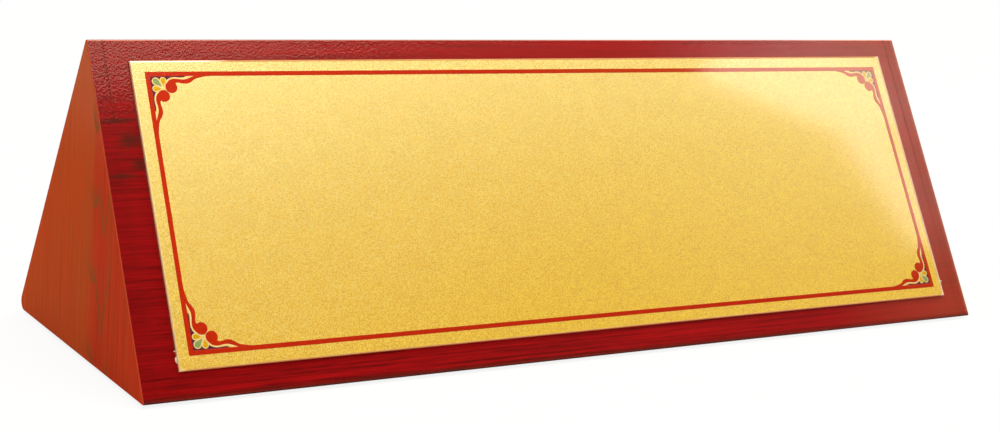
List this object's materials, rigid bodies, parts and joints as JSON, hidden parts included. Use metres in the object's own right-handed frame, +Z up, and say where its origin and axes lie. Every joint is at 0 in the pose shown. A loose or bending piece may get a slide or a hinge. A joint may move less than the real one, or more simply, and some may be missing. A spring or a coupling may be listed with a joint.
{
  "type": "desk name plate",
  "caption": "Triangular desk name plate: a hollow lacquered wooden wedge with a gold metal sheet on its sloping front, left blank for a name.",
  "frame": {"origin": "on the desk, under the middle of the ridge, at the centre of the footprint", "axes": "+X along the length to the right of a person reading the front, -Y out of the front, +Z up"},
  "size_m": [0.3, 0.1005, 0.0897],
  "materials": {
    "lacquered_board": "rosewood-red stained veneer under gloss lacquer, grain along the length",
    "lacquered_end": "orange-brown stained veneer under gloss lacquer, grain upright",
    "bare_pine": "sawn softwood, hidden inside",
    "gold_sheet": "gold sand-grain aluminium under clear coat, sheared silver edge",
    "tape": "whitish double-sided tape",
    "felt": "dark felt"
  },
  "bodies": {
    "root": {"front_board": "lacquered_board", "back_board": "lacquered_board", "base_board": "lacquered_board", "left_end_board": "lacquered_end", "right_end_board": "lacquered_end", "front_glue_block": "bare_pine", "rear_glue_block": "bare_pine", "ridge_glue_block": "bare_pine", "name_plate": "gold_sheet", "lower_tape": "tape", "middle_tape": "tape", "upper_tape": "tape", "front_left_pad": "felt", "front_right_pad": "felt", "rear_left_pad": "felt", "rear_right_pad": "felt"}
  },
  "joints": []
}
